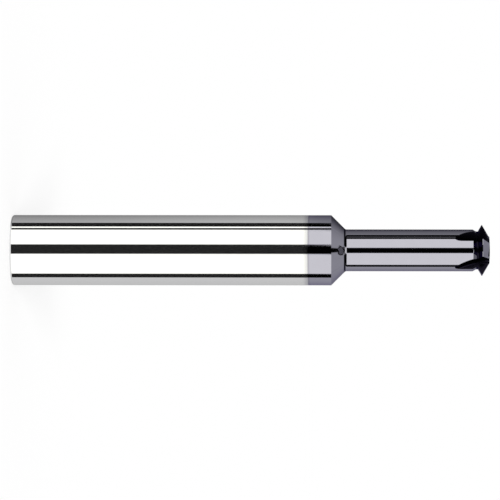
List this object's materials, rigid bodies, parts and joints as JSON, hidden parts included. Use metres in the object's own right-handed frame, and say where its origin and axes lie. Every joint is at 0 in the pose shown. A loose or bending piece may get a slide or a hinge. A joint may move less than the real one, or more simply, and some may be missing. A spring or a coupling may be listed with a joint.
{
  "type": "thread mill",
  "caption": "Slim V-tooth thread mill: round shank, conical step to a reduced neck, and a short head of relieved 60 degree teeth with straight flutes.",
  "frame": {"origin": "centre of the shank's end face", "axes": "+Z along the tool's axis, from the shank's end towards the teeth; the camera of the picture looks along +Y"},
  "size_m": [0.0096, 0.0096, 0.0647],
  "materials": {
    "carbide": "finely ground bare carbide on the shank, smooth purple-grey nitride coating on the cone, neck and teeth"
  },
  "bodies": {
    "root": {"thread_mill": "carbide"}
  },
  "joints": []
}
